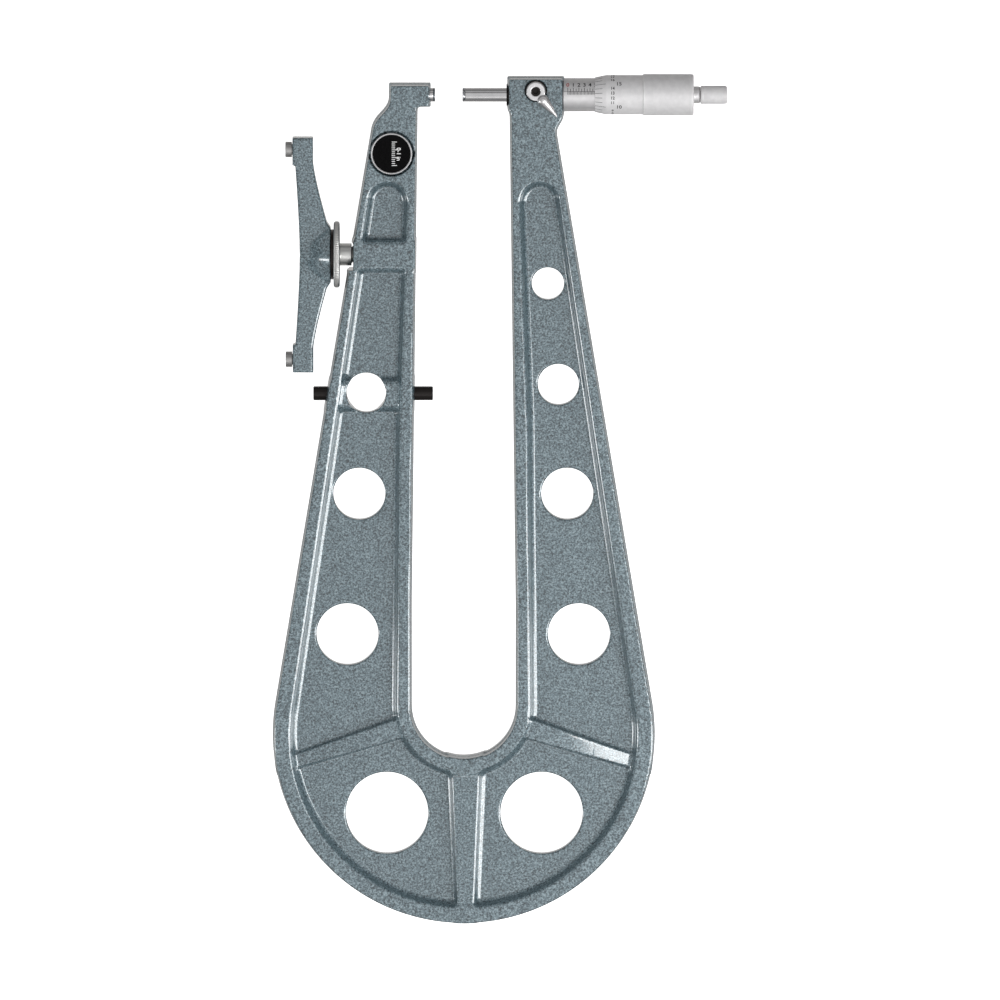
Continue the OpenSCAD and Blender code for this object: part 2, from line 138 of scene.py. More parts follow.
# Two bosses along X: first and last X, centre Y, half width, half height, edge radius
STUD_BOSS = (-66, -22, STUD_Y, 7.2, HALF_T - 0.05, 2.6)
PIN_BOSS = (-70, -23, PIN_Y, 7.2, 7.3, 3.2)
SPOT_X = -50.6
SPOT_HALF = 6.1
PLATE_SEAT_R, PLATE_SEAT = 10.35, 0.8
PLATE_GROOVE_R, PLATE_GROOVE = 9.4, 2.2
CLAMP_SEAT_R, CLAMP_SEAT = 4.9, 0.6
CLAMP_BORE = 2.1
SLEEVE_BORE = 5.05
ANVIL_BORE = 3.22
STUD_BORE = 4.1
PIN_BORE = 3.32
SET_SCREW_BORE = 1.55
HOLE_EDGE = 0.9
BORE_EDGE = 0.35

# Casting grids in mm, and how many triangles they keep
FRAME_STEP, FRAME_TRIANGLES = 0.66, 190000
STAND_STEP, STAND_TRIANGLES = 0.45, 60000
LEVER_STEP, LEVER_TRIANGLES = 0.17, 60000

# Faces of a box whose corners are counted with the last axis fastest
BOX_FACES = ((0, 1, 3, 2), (4, 6, 7, 5), (0, 4, 5, 1), (2, 3, 7, 6), (1, 5, 7, 3), (0, 2, 6, 4))


# ---------------------------------------------------------------- outlines
def arc(centre, r, a0, a1, n=16):
    t = np.radians(np.linspace(a0, a1, n + 1))
    return np.column_stack([centre[0] + r * np.cos(t), centre[1] + r * np.sin(t)])


def bezier(a, b, c, d, n=16):
    t = np.linspace(0, 1, n + 1)[:, None]
    u = 1 - t
    a, b, c, d = (np.array(p, float) for p in (a, b, c, d))
    return u**3 * a + 3 * u * u * t * b + 3 * u * t * t * c + t**3 * d


def outer_x(y):
    return TANGENT[0] - (y - TANGENT[1]) * math.tan(ARM_SLOPE)


def throat_x(y):
    return THROAT_R - (THROAT_R - THROAT_TOP) * max(0, y - TAPER_Y) / (HEAD_Y - TAPER_Y)


def pocket_x(y):
    return POCKET_TANGENT[0] - (y - POCKET_TANGENT[1]) * math.tan(POCKET_SLOPE)


def flip(points):
    return [(-x, y) for x, y in points]


def frame_outline():
    slope = math.degrees(ARM_SLOPE)
    right, left = HEAD_RIGHT, HEAD_LEFT
    spindle_head = [
        *bezier((outer_x(276), 276), (outer_x(276) - 0.8, 281), (right, 281), (right, 287.3)),
        (right, HEAD_TOP), (left, HEAD_TOP),
        *bezier((left, 289.6), (left, 286.5), (throat_x(HEAD_Y), 287.5), (throat_x(HEAD_Y), 284)),
    ]
    anvil_head = [
        *arc((ANVIL_FILLET_R - THROAT_TOP, ANVIL_FILLET_Y), ANVIL_FILLET_R, 180, 90, 8),
        (ANVIL_FRONT, ANVIL_LOW), (ANVIL_FRONT, ANVIL_TOP), (ANVIL_BACK, ANVIL_TOP),
        *bezier((ANVIL_BACK, 294), (ANVIL_BACK, 287), (-41.2, 286.5), (-outer_x(278), 278)),
    ]
    return np.array([
        *arc((0, 0), BULGE_R, 180 - slope, 360 + slope, ROUND_POINTS), *spindle_head,
        (THROAT_R, TAPER_Y), *arc((0, THROAT_Y), THROAT_R, 0, -180, THROAT_POINTS),
        (-THROAT_R, TAPER_Y), *anvil_head])


def pocket_outline():
    slope = math.degrees(POCKET_SLOPE)
    top = ((POCKET_IN_TOP + pocket_x(POCKET_TOP)) / 2, POCKET_TOP)
    inner = [(POCKET_IN_TOP, POCKET_TOP), POCKET_IN_MID]
    return np.array([
        *arc((0, 0), POCKET_R, 180 - slope, 360 + slope, ROUND_POINTS),
        *arc(top, POCKET_END_R, 15, 165), *inner,
        *arc((0, THROAT_Y), THROAT_R + THROAT_RIM, 0, -180, THROAT_POINTS),
        *flip(inner[::-1]), *flip(arc(top, POCKET_END_R, 165, 15))])


SIDE_RIB = np.array([(26, 8.4), (33, 6.8), (79, -9.8), (86, -12.2), (86, -18.2), (77, -15.6),
                     (31, -2.0), (24, 0)])
MID_RIB = np.array([(RIB_SHIFT - 6.8, -8), (RIB_SHIFT - 6.3, -20), (RIB_SHIFT - 3.8, -79),
                    (RIB_SHIFT - 3.8, -86), (RIB_SHIFT + 3.8, -86), (RIB_SHIFT + 3.8, -79),
                    (RIB_SHIFT + 6.3, -20), (RIB_SHIFT + 6.8, -8)])


# ---------------------------------------------------------------- distance fields
def polygon_distance(points, x, y):
    """Signed distance to a polygon, negative inside."""
    best = np.full(np.broadcast(x, y).shape, 1e12)
    inside = np.zeros(best.shape, bool)
    for (ax, ay), (bx, by) in zip(points, np.roll(points, -1, 0)):
        ex, ey = bx - ax, by - ay
        if ex == ey == 0:
            continue
        t = np.clip(((x - ax) * ex + (y - ay) * ey) / (ex * ex + ey * ey), 0, 1)
        best = np.minimum(best, (x - ax - ex * t) ** 2 + (y - ay - ey * t) ** 2)
        if ey:
            inside ^= ((ay > y) != (by > y)) & (x < ex * (y - ay) / ey + ax)
    return np.where(inside, -1, 1) * np.sqrt(best)


def smooth_min(a, b, k):
    h = np.maximum(k - np.abs(a - b), 0) / k
    return np.minimum(a, b) - h * h * k / 4


def smooth_max(a, b, k):
    return -smooth_min(-a, -b, k)


def slab(d, az, half, r):
    """A flat shape of half thickness half, its edges rounded by r."""
    qx, qz = d + r, az - half + r
    return np.minimum(np.maximum(qx, qz), 0) + np.hypot(np.maximum(qx, 0), np.maximum(qz, 0)) - r


def bar_x(y, z, x, x0, x1, cy, r):
    """A round bar along X, between x0 and x1."""
    return np.maximum(np.hypot(y - cy, z) - r, np.maximum(x0 - x, x - x1))


def boss_x(y, z, x, x0, x1, cy, half_y, half_z, r):
    """A bar along X with a flat top and edges rounded by r."""
    qy, qz = np.abs(y - cy) - half_y + r, np.abs(z) - half_z + r
    section = np.hypot(np.maximum(qy, 0), np.maximum(qz, 0)) + np.minimum(np.maximum(qy, qz), 0) - r
    return np.maximum(section, np.maximum(x0 - x, x - x1))


class Plan:
    """Flat distance fields on a grid, read between its points."""

    def __init__(self, low, high, step, fields):
        self.low, self.step = np.array(low, float), step
        self.x = np.arange(low[0], high[0] + step, step)
        self.y = np.arange(low[1], high[1] + step, step)
        gx, gy = np.meshgrid(self.x, self.y, indexing="ij")
        self.fields = {k: f(gx, gy).astype(np.float32) for k, f in fields.items()}

    def read(self, x, y):
        u = np.clip((x - self.low[0]) / self.step, 0, len(self.x) - 1.001)
        v = np.clip((y - self.low[1]) / self.step, 0, len(self.y) - 1.001)
        i, j = u.astype(int), v.astype(int)
        u, v = u - i, v - j
        return {k: (f[i, j] * (1 - u) * (1 - v) + f[i + 1, j] * u * (1 - v)
                    + f[i, j + 1] * (1 - u) * v + f[i + 1, j + 1] * u * v)
                for k, f in self.fields.items()}

    def spread(self):
        return {k: f[:, :, None] for k, f in self.fields.items()}


def frame_distance(x, y, z, f):
    az = np.abs(z)
    out = f["outline"] + WALL_DRAFT * az
    wall = -f["pocket"] - (HALF_T - az) * POCKET_DRAFT
    # the outer edges and the heads' are sharper than the pockets'
    edge = np.where(out > wall, OUTER_EDGE, POCKET_EDGE - HEAD_EDGE_CUT * np.clip((y - 262) / 14, 0, 1))
    rim = slab(np.maximum(out, wall), az, HALF_T, edge)
    web = slab(out, az, HALF_WEB, WEB_EDGE)
    d = smooth_min(rim, web, WEB_BLEND)
    mid_rib = np.maximum(f["mid_rib"] + RIB_DRAFT * (az - HALF_T), out)
    d = smooth_min(d, slab(mid_rib, az, HALF_T - MID_RIB_DROP, 0.9), MID_RIB_BLEND)
    # a side rib falls towards the outer rim and across its own width
    along = np.clip((np.abs(x) - 30) / 48, 0, 1)
    across = np.clip((5.4 - 0.36 * (np.abs(x) - 33) - y) / 8, 0, 1)
    height = HALF_T - SIDE_RIB_DROP - SIDE_RIB_FALL * along**2 - SIDE_RIB_TILT * across
    side_rib = np.maximum(slab(f["side_rib"], az, height, 0.6), out)
    d = smooth_min(d, side_rib, SIDE_RIB_BLEND)
    bosses = np.minimum(boss_x(y, z, x, *STUD_BOSS), boss_x(y, z, x, *PIN_BOSS))
    d = smooth_min(d, smooth_max(bosses, out, 1.2), BOSS_BLEND)
    d = np.maximum(d, az - HALF_T)
    for cx, cy, r in HOLES:
        d = smooth_max(d, r - np.hypot(x - cx, y - cy), HOLE_EDGE)
    spot = np.maximum(x - SPOT_X, np.abs(y - STUD_Y + 0.5) - SPOT_HALF)
    away = np.hypot(x - PLATE[0], y - PLATE[1])
    groove = np.where(away > PLATE_GROOVE_R, PLATE_GROOVE, 0)
    plate_seat = np.maximum(away - PLATE_SEAT_R, HALF_T - PLATE_SEAT - groove - z)
    away = np.hypot(x - CLAMP[0], y - CLAMP[1])
    cuts = [
        spot, plate_seat,
        np.maximum(away - CLAMP_SEAT_R, HALF_T - CLAMP_SEAT - z), np.maximum(away - CLAMP_BORE, -z),
        bar_x(y, z, x, HEAD_LEFT - 2, HEAD_RIGHT + 2, SPINDLE_Y, SLEEVE_BORE),
        bar_x(y, z, x, -27.1, -10, SPINDLE_Y, ANVIL_BORE),
        bar_x(y, z, x, -60, -26, STUD_Y, STUD_BORE),
        bar_x(y, z, x, -75, -15, PIN_Y, PIN_BORE),
    ]
    for node in ("pin_screw_inner", "pin_screw_outer"):
        away = np.hypot(x - middle(node)[0], y - PIN_Y)
        cuts.append(np.maximum(away - SET_SCREW_BORE, z))
    for cut in cuts:
        d = smooth_max(d, -cut, BORE_EDGE)
    return d


# ---------------------------------------------------------------- meshing
def surface_net(values, low, step):
    """One vertex in each cell that the surface passes through, and one face across each edge."""
    inside = values < 0
    corners = [(i, j, k) for i in (0, 1) for j in (0, 1) for k in (0, 1)]
    nx, ny, nz = (n - 1 for n in values.shape)
    count = sum(inside[i:nx + i, j:ny + j, k:nz + k].astype(np.int8) for i, j, k in corners)
    active = (count > 0) & (count < 8)
    cells = np.argwhere(active)
    index = np.full(active.shape, -1, np.int32)
    index[active] = np.arange(len(cells))
    total, weight = np.zeros((len(cells), 3)), np.zeros(len(cells))
    for a in corners:
        for axis in range(3):
            if a[axis]:
                continue
            b = tuple(1 if n == axis else a[n] for n in range(3))
            va = values[tuple((cells + a).T)]
            vb = values[tuple((cells + b).T)]
            cut = (va < 0) != (vb < 0)
            t = va[cut] / (va[cut] - vb[cut])
            point = np.array(a, float) + t[:, None] * (np.array(b) - np.array(a))
            total[cut] += point
            weight[cut] += 1
    verts = (cells + total / weight[:, None]) * step + np.array(low)
    faces = []
    for axis in range(3):
        u, v = [n for n in range(3) if n != axis]
        lower = [slice(1, -1)] * 3
        upper = [slice(1, -1)] * 3
        lower[axis], upper[axis] = slice(0, -1), slice(1, None)
        start, end = inside[tuple(lower)], inside[tuple(upper)]
        edges = np.argwhere(start != end)
        solid_first = start[tuple(edges.T)]
        edges[:, u] += 1
        edges[:, v] += 1
        around = []
        for du, dv in ((-1, -1), (0, -1), (0, 0), (-1, 0)):
            cell = edges.copy()
            cell[:, u] += du
            cell[:, v] += dv
            around.append(index[tuple(cell.T)])
        quad = np.column_stack(around)
        turned = solid_first if axis != 1 else ~solid_first
        quad[~turned] = quad[~turned][:, ::-1]
        faces.append(quad)
    return verts, np.concatenate(faces)


def gradient(distance, points, h=0.04):
    g = np.zeros_like(points)
    for axis in range(3):
        step = np.zeros(3)
        step[axis] = h
        g[:, axis] = distance(points + step) - distance(points - step)
    return g / (2 * h)


def settle(distance, points, rounds=3):
    """Moves points onto the surface along its gradient."""
    for _ in range(rounds):
        g = gradient(distance, points)
        d = distance(points)
        move = -(d / np.maximum((g**2).sum(1), 0.25))[:, None] * g
        points = points + np.clip(move, -0.5, 0.5)
    return points


def cast(name, plan, formula, z_low, z_high, step, triangles, centre):
    """A casting from its distance formula: meshed, settled, thinned out and given true normals."""
    z = np.arange(z_low, z_high + step, step)
    shape = formula(plan.x[:, None, None], plan.y[None, :, None], z[None, None, :], plan.spread())

    def distance(p):
        return formula(p[:, 0], p[:, 1], p[:, 2], plan.read(p[:, 0], p[:, 1]))

    verts, faces = surface_net(shape.astype(np.float32), (*plan.low, z_low), step)
    verts = settle(distance, verts)
    mesh = bpy.data.meshes.new(name)
    mesh.from_pydata((verts * MM + centre).tolist(), [], faces.tolist())
    o = bpy.data.objects.new(name, mesh)
    bpy.context.scene.collection.objects.link(o)
    if 2 * len(faces) > triangles:
        thin = o.modifiers.new("thin", "DECIMATE")
        thin.ratio = triangles / (2 * len(faces))
        dg = bpy.context.evaluated_depsgraph_get()
        o.data = bpy.data.meshes.new_from_object(o.evaluated_get(dg))
        o.modifiers.clear()
        bpy.data.meshes.remove(mesh)
    o.data.name = name
    o.data.polygons.foreach_set("use_smooth", np.ones(len(o.data.polygons), bool))
    co = np.zeros(len(o.data.vertices) * 3)
    o.data.vertices.foreach_get("co", co)
    normals = gradient(distance, (co.reshape(-1, 3) - centre) / MM)
    normals /= np.maximum(np.linalg.norm(normals, axis=1), 1e-9)[:, None]
    o.data.normals_split_custom_set_from_vertices(normals.tolist())
    return o


# ---------------------------------------------------------------- turned pieces
# a radius in mm below which a ring is one point on the axis
POLE = 1e-6


def rounded(points, closed=False, n=4):
    """A profile of (place, radius) or (place, radius, fillet) points, with its corners rounded."""
    out = []
    count = len(points)
    for i, p in enumerate(points):
        here = np.array(p[:2], float)
        fillet = p[2] if len(p) > 2 else 0
        if not fillet or (not closed and i in (0, count - 1)):
            out.append(here)
            continue
        back = np.array(points[i - 1][:2], float) - here
        ahead = np.array(points[(i + 1) % count][:2], float) - here
        lb, la = np.linalg.norm(back), np.linalg.norm(ahead)
        back, ahead = back / lb, ahead / la
        half = math.acos(np.clip(back @ ahead, -1, 1)) / 2
        reach = min(fillet / math.tan(half), lb * 0.49, la * 0.49)
        a, b = here + back * reach, here + ahead * reach
        for t in np.linspace(0, 1, n + 1):
            out.append((1 - t) ** 2 * a + 2 * (1 - t) * t * here + t * t * b)
    return np.array(out)


def refine(profile, lo, hi, step):
    """Adds points along the profile wherever it runs between lo and hi."""
    out = [profile[0]]
    for a, b in zip(profile, profile[1:]):
        inside = min(a[0], b[0]) >= lo - 1e-6 and max(a[0], b[0]) <= hi + 1e-6
        n = max(1, round(abs(b[0] - a[0]) / step)) if inside else 1
        out += [a + (b - a) * k / n for k in range(1, n + 1)]
    return np.array(out)


def link(name, mesh, smooth=True):
    o = bpy.data.objects.new(name, mesh)
    bpy.context.scene.collection.objects.link(o)
    if smooth:
        mesh.polygons.foreach_set("use_smooth", np.ones(len(mesh.polygons), bool))
    return o


def lathe(name, profile, centre, axis="x", segments=96, bump=None, closed=False):
    """Turns a profile about an axis through centre. Profile in mm: place along the axis, radius.
    bump(angle, place, radius) adds to the radius."""
    angle = np.arange(segments) * 2 * math.pi / segments
    if axis == "z":
        # the angle grows the other way round the Z axis, so the faces would point inwards
        profile = profile[::-1]
    place, radius = profile[:, 0], profile[:, 1]
    ring_r = np.repeat(radius[:, None], segments, 1)
    if bump is not None:
        ring_r = ring_r + bump(angle[None, :], place[:, None], radius[:, None])
    s, c = np.sin(angle)[None, :], np.cos(angle)[None, :]
    along = np.repeat(place[:, None], segments, 1)
    if axis == "x":
        grid = np.stack([along, ring_r * s, ring_r * c], -1)
    else:
        grid = np.stack([ring_r * c, ring_r * s, along], -1)
    grid = grid * MM + np.array(centre)
    verts, faces, first = [], [], []
    for k, ring in enumerate(grid):
        first.append(len(verts))
        verts += [ring.mean(0)] if radius[k] < POLE else list(ring)
    pairs = list(range(len(grid) - 1)) + ([len(grid) - 1] if closed else [])
    for k in pairs:
        m = (k + 1) % len(grid)
        pole_a, pole_b = radius[k] < POLE, radius[m] < POLE
        if pole_a and pole_b:
            continue
        for i in range(segments):
            j = (i + 1) % segments
            a, b = first[k] + (0 if pole_a else i), first[k] + (0 if pole_a else j)
            d, e = first[m] + (0 if pole_b else i), first[m] + (0 if pole_b else j)
            faces.append([a, b, e] if pole_b else [a, e, d] if pole_a else [a, b, e, d])
    mesh = bpy.data.meshes.new(name)
    mesh.from_pydata([tuple(v) for v in verts], [], faces)
    o = link(name, mesh)
    fix = bmesh.new()
    fix.from_mesh(mesh)
    bmesh.ops.recalc_face_normals(fix, faces=fix.faces)
    fix.to_mesh(mesh)
    fix.free()
    o.modifiers.new("weighted_normals", "WEIGHTED_NORMAL").keep_sharp = True
    return o


def axis_at(node, y):
    """Where a turned piece starts: its node's lowest X, on an axis along X."""
    return (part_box(node)[0].x, y * MM + ORIGIN[1], ORIGIN[2])


# ---------------------------------------------------------------- materials
def shader(name):
    mat = bpy.data.materials.new(name)
    mat.use_nodes = True
    nodes, links = mat.node_tree.nodes, mat.node_tree.links
    bsdf = nodes["Principled BSDF"]
    coord = nodes.new("ShaderNodeTexCoord")
    return mat, nodes, links, bsdf, coord


def mapped(nodes, links, coord, scale):
    node = nodes.new("ShaderNodeMapping")
    node.inputs["Scale"].default_value = scale
    links.new(coord.outputs["Object"], node.inputs["Vector"])
    return node.outputs["Vector"]


def noise(nodes, links, vector, scale, detail=2.0, rough=0.5, distortion=0.0):
    node = nodes.new("ShaderNodeTexNoise")
    node.inputs["Scale"].default_value = scale
    node.inputs["Detail"].default_value = detail
    node.inputs["Roughness"].default_value = rough
    node.inputs["Distortion"].default_value = distortion
    links.new(vector, node.inputs["Vector"])
    return node.outputs["Fac"]


def ramp(nodes, links, value, stops):
    node = nodes.new("ShaderNodeValToRGB")
    elements = node.color_ramp.elements
    while len(elements) < len(stops):
        elements.new(0.5)
    for e, (at, colour) in zip(elements, stops):
        e.position = at
        e.color = (*colour, 1) if len(colour) == 3 else colour
    links.new(value, node.inputs["Fac"])
    return node.outputs["Color"]


def scaled(nodes, links, value, low, high):
    """Maps 0..1 to low..high."""
    node = nodes.new("ShaderNodeMapRange")
    node.inputs["To Min"].default_value = low
    node.inputs["To Max"].default_value = high
    links.new(value, node.inputs["Value"])
    return node.outputs["Result"]


def bumped(nodes, links, bsdf, height, strength, distance):
    node = nodes.new("ShaderNodeBump")
    node.inputs["Strength"].default_value = strength
    node.inputs["Distance"].default_value = distance
    links.new(height, node.inputs["Height"])
    links.new(node.outputs["Normal"], bsdf.inputs["Normal"])


def hammertone():
    mat, nodes, links, bsdf, coord = shader("hammertone_paint")
    at = coord.outputs["Object"]
    speck = noise(nodes, links, at, 1300, 1.5, 0.6, 0.5)
    fine = noise(nodes, links, at, 3200, 2, 0.6)
    both = nodes.new("ShaderNodeMath")
    both.operation = "MULTIPLY_ADD"
    both.inputs[1].default_value = 0.85
    links.new(speck, both.inputs[0])
    links.new(scaled(nodes, links, fine, 0.0, 0.15), both.inputs[2])
    colour = ramp(nodes, links, both.outputs["Value"], [
        (0.38, (0.006, 0.02, 0.027)), (0.455, (0.056, 0.096, 0.115)),
        (0.545, (0.108, 0.162, 0.188)), (0.62, (0.235, 0.31, 0.34))])
    links.new(colour, bsdf.inputs["Base Color"])
    bsdf.inputs["Metallic"].default_value = 0.2
    links.new(scaled(nodes, links, fine, 0.25, 0.4), bsdf.inputs["Roughness"])
    bsdf.inputs["Coat Weight"].default_value = 1.0
    bsdf.inputs["Coat IOR"].default_value = 1.8
    bsdf.inputs["Coat Roughness"].default_value = 0.09
    bumped(nodes, links, bsdf, both.outputs["Value"], 0.3, 0.00025)
    return mat


def metal(name, colour, low, high, lines=(9000, 900, 900), strength=0.15, metallic=1.0,
          wear=0.08):
    """Machined metal: fine tool lines across the turning axis, and uneven roughness."""
    mat, nodes, links, bsdf, coord = shader(name)
    tool = noise(nodes, links, mapped(nodes, links, coord, lines), 1.0, 2, 0.5)
    cloud = noise(nodes, links, coord.outputs["Object"], 350, 3, 0.55)
    dark = tuple(c * (1 - wear) for c in colour)
    links.new(ramp(nodes, links, cloud, [(0.35, dark), (0.65, colour)]),
              bsdf.inputs["Base Color"])
    bsdf.inputs["Metallic"].default_value = metallic
    links.new(scaled(nodes, links, tool, low, high), bsdf.inputs["Roughness"])
    bumped(nodes, links, bsdf, tool, strength, 0.00002)
    return mat


def lacquer(name, colour, roughness, shine=0.5):
    mat, nodes, links, bsdf, coord = shader(name)
    fine = noise(nodes, links, coord.outputs["Object"], 2500, 2, 0.5)
    light = tuple(min(1, c * 1.35 + 0.004) for c in colour)
    links.new(ramp(nodes, links, fine, [(0.4, colour), (0.65, light)]),
              bsdf.inputs["Base Color"])
    links.new(scaled(nodes, links, fine, roughness, roughness + 0.12),
              bsdf.inputs["Roughness"])
    bsdf.inputs["Specular IOR Level"].default_value = shine
    bumped(nodes, links, bsdf, fine, 0.1, 0.00002)
    return mat


PAINT = hammertone()
CHROME = metal("satin_chrome", (0.63, 0.62, 0.625), 0.42, 0.55, metallic=0.7)
KNURLED = metal("knurled_chrome", (0.74, 0.73, 0.735), 0.55, 0.7, metallic=0.45)
BRIGHT = metal("bright_chrome", (0.68, 0.67, 0.675), 0.24, 0.36, strength=0.05)
GROUND = metal("ground_steel", (0.58, 0.575, 0.58), 0.06, 0.14, strength=0.05)
LAPPED = metal("lapped_carbide", (0.42, 0.425, 0.44), 0.08, 0.16, (900, 900, 900), 0.03)
PLATED = metal("plated_steel", (0.6, 0.6, 0.585), 0.28, 0.42)
PLAIN = metal("machined_steel", (0.5, 0.5, 0.51), 0.25, 0.4)
PAD = metal("foot_steel", (0.4, 0.395, 0.39), 0.35, 0.5)
BLACK = metal("blackened_steel", (0.009, 0.006, 0.005), 0.25, 0.38, metallic=0.5)
BRASS = metal("brass", (0.72, 0.55, 0.26), 0.22, 0.38)
DISC = lacquer("black_lacquer", (0.0008, 0.0006, 0.0008), 0.3, 0.04)
INK = lacquer("black_ink", (0.012, 0.012, 0.014), 0.5, 0.2)
RED_INK = lacquer("red_ink", (0.32, 0.045, 0.04), 0.5)
WHITE_INK = lacquer("white_ink", (0.8, 0.8, 0.8), 0.4)


def finish_piece(o, material, body, slot, *nodes):
    o.data.materials.clear()
    o.data.materials.append(material)
    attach(o, body)
    if nodes:
        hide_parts(*nodes)
    return o


# ---------------------------------------------------------------- castings
def frame_casting():
    plan = Plan((-90, -90), (90, 306), FRAME_STEP, {
        "outline": lambda x, y: polygon_distance(frame_outline(), x, y),
        "pocket": lambda x, y: polygon_distance(pocket_outline(), x, y),
        "side_rib": lambda x, y: polygon_distance(SIDE_RIB, np.abs(x), y),
        "mid_rib": lambda x, y: polygon_distance(MID_RIB, x, y),
    })
    reach = 16 * FRAME_STEP
    o = cast("frame_casting", plan, frame_distance, -reach, reach, FRAME_STEP, FRAME_TRIANGLES,
             ORIGIN)
    finish_piece(o, PAINT, "root", "paint", "frame")


def stand_casting():
    low, high = design("stand_body")
    back, face, reach = low[0], high[0], (high[1] - low[1]) / 2
    foot = middle("stand_foot_upper")[1] - STUD_Y
    half = np.array([
        (back + 3.4, 0),
        *bezier((back + 3.2, 6), (back + 2.9, 16), (back + 2.2, 28), (back + 1.3, foot - 7.5)),
        (back, foot - 7.2), (back, reach), (back + 10, reach),
        *bezier((back + 10, foot - 5.5), (back + 10.6, foot - 12), (face - 4, 24),
                (face - 1.6, 15.4)),
        (face, 12.6), (face, 0)])
    outline = np.concatenate([half, (half * (1, -1))[::-1]])

    def formula(x, y, z, f):
        az = np.abs(z)
        d = slab(f["outline"] + 0.03 * az, az, 5.5, 1.3)
        cone = np.hypot(y, z) - 11 + 0.62 * np.clip(face - x, 0, 20)
        boss = slab(cone, np.abs(x - face + 6), 6, 0.7)
        d = smooth_max(smooth_min(d, boss, 6.0), f["outline"], 0.8)
        d = smooth_max(d, -bar_x(y, z, x, face - 20, face + 2, 0, STUD_BORE), 0.3)
        for side in (-1, 1):
            d = smooth_max(d, -bar_x(y, z, x, back - 2, back + 7.1, side * foot, 2.55), 0.3)
        return d

    plan = Plan((back - 2, -reach - 2), (face + 2, reach + 2), STAND_STEP, {
        "outline": lambda x, y: polygon_distance(outline, x, y)})
    centre = ORIGIN + np.array([0, STUD_Y, 0]) * MM
    o = cast("stand_casting", plan, formula, -12.6, 12.6, STAND_STEP, STAND_TRIANGLES, centre)
    finish_piece(o, PAINT, "stand", "paint", "stand_body")


def clamp_lever():
    angle = math.radians(-50.5)
    dx, dy = math.cos(angle), math.sin(angle)
    # the lever's thick and thin end: distance from the screw's axis, height
    start, end = (5.3, 12.2), (15.1, 11.3)
    span = np.array(end) - start

    def formula(x, y, z, f):
        rho = np.hypot(x, y)
        hub = slab(rho - 4.35, np.abs(z - 11.5), 2.1, 0.5)
        u = x * dx + y * dy
        v = -x * dy + y * dx
        t = np.clip(((u - start[0]) * span[0] + (z - start[1]) * span[1]) / (span @ span), 0, 1)
        away = np.sqrt((u - start[0] - t * span[0]) ** 2 + v**2 + (z - start[1] - t * span[1]) ** 2)
        lever = away - (2.85 - 2.5 * t**1.15)
        d = smooth_min(hub, lever, 0.3)
        d = smooth_max(d, 2.1 - rho, 0.4)
        return smooth_max(d, -np.maximum(rho - 2.65, z - 13.05), 0.1)

    plan = Plan((-6, -15), (13, 6), LEVER_STEP, {})
    centre = ORIGIN + np.array([CLAMP[0], CLAMP[1], 0]) * MM
    o = cast("lever_with_hub", plan, formula, 8.8, 15.2, LEVER_STEP, LEVER_TRIANGLES, centre)
    finish_piece(o, BRIGHT, "clamp", "satin_chrome", "clamp_lever")


# ---------------------------------------------------------------- measuring parts
def turned(name, node, points, y, material, body, slot, **options):
    """A piece turned about X. fine=(first, last, step) cuts its profile up between two places."""
    closed = options.get("closed", False)
    stretch = options.pop("fine", None)
    profile = rounded(points, closed, options.pop("n", 4))
    if stretch:
        profile = refine(profile, *stretch)
    o = lathe(name, profile, axis_at(node, y), **options)
    return finish_piece(o, material, body, slot, node)


def box_l_r(node):
    """Length along X and radius of a turned node."""
    low, high = design(node)
    return high[0] - low[0], (high[2] - low[2]) / 2


def rods():
    length, r = box_l_r("anvil")
    turned("anvil_rod", "anvil", [(0, 0), (0, r, 0.2), (length, r), (length, 0)], SPINDLE_Y,
           GROUND, "root", "polished_steel")
    tip, r = box_l_r("anvil_tip")
    turned("anvil_face", "anvil_tip", [(0, 0), (0, r), (tip, r, 0.15), (tip, 0)], SPINDLE_Y,
           LAPPED, "root", "hard_metal")
    tip, r = box_l_r("spindle_tip")
    turned("spindle_face", "spindle_tip", [(0, 0), (0, r, 0.15), (tip, r), (tip, 0)],
           SPINDLE_Y, LAPPED, "spindle_carriage", "hard_metal")
    low, high = design("spindle")
    length, seat = high[0] - low[0], 5.5
    thread_x, thread_r, pitch = 53 - low[0], 3.75, 0.635
    head_x = length - seat

    def thread(angle, place, radius):
        on = (place > thread_x + 1.2) & (place < head_x - 0.6)
        wave = np.abs(((place / pitch - angle / (2 * math.pi)) % 1) * 2 - 1)
        return np.where(on, -0.32 * (1 - wave), 0)

    turned("spindle_rod", "spindle",
           [(0, 0), (0, r), (thread_x, r), (thread_x + 0.8, thread_r), (head_x, thread_r),
            (head_x, 5, 0.2), (length, 5, 0.2), (length, 2.5), (head_x - 2, 2.5),
            (head_x - 2, 0)], SPINDLE_Y, GROUND, "spindle_set", "polished_steel",
           segments=72, bump=thread, fine=(thread_x + 0.9, head_x - 0.01, pitch / 5))


def sleeves():
    length, r = box_l_r("sleeve")
    turned("graduated_sleeve", "sleeve",
           [(0, 5.5), (0, r, 0.1), (length, r, 0.3), (length, 5.5)], SPINDLE_Y, CHROME, "root",
           "satin_chrome", closed=True, segments=128)
    length = box_l_r("spindle_bush")[0]
    turned("flanged_bush", "spindle_bush",
           [(0, 3.21, 0.15), (0, 5.1, 0.25), (0.7, 5.1), (0.7, 5.0), (length, 5.0),
            (length, 3.21)], SPINDLE_Y, BLACK, "root", "black_steel", closed=True)


THIMBLE_L, KNURL_R = box_l_r("thimble")
THIMBLE_R = KNURL_R - 0.475
EDGE_R = box_l_r("sleeve")[1] + 0.275
CONE_L = 5.05
KNURL_X = 22.0


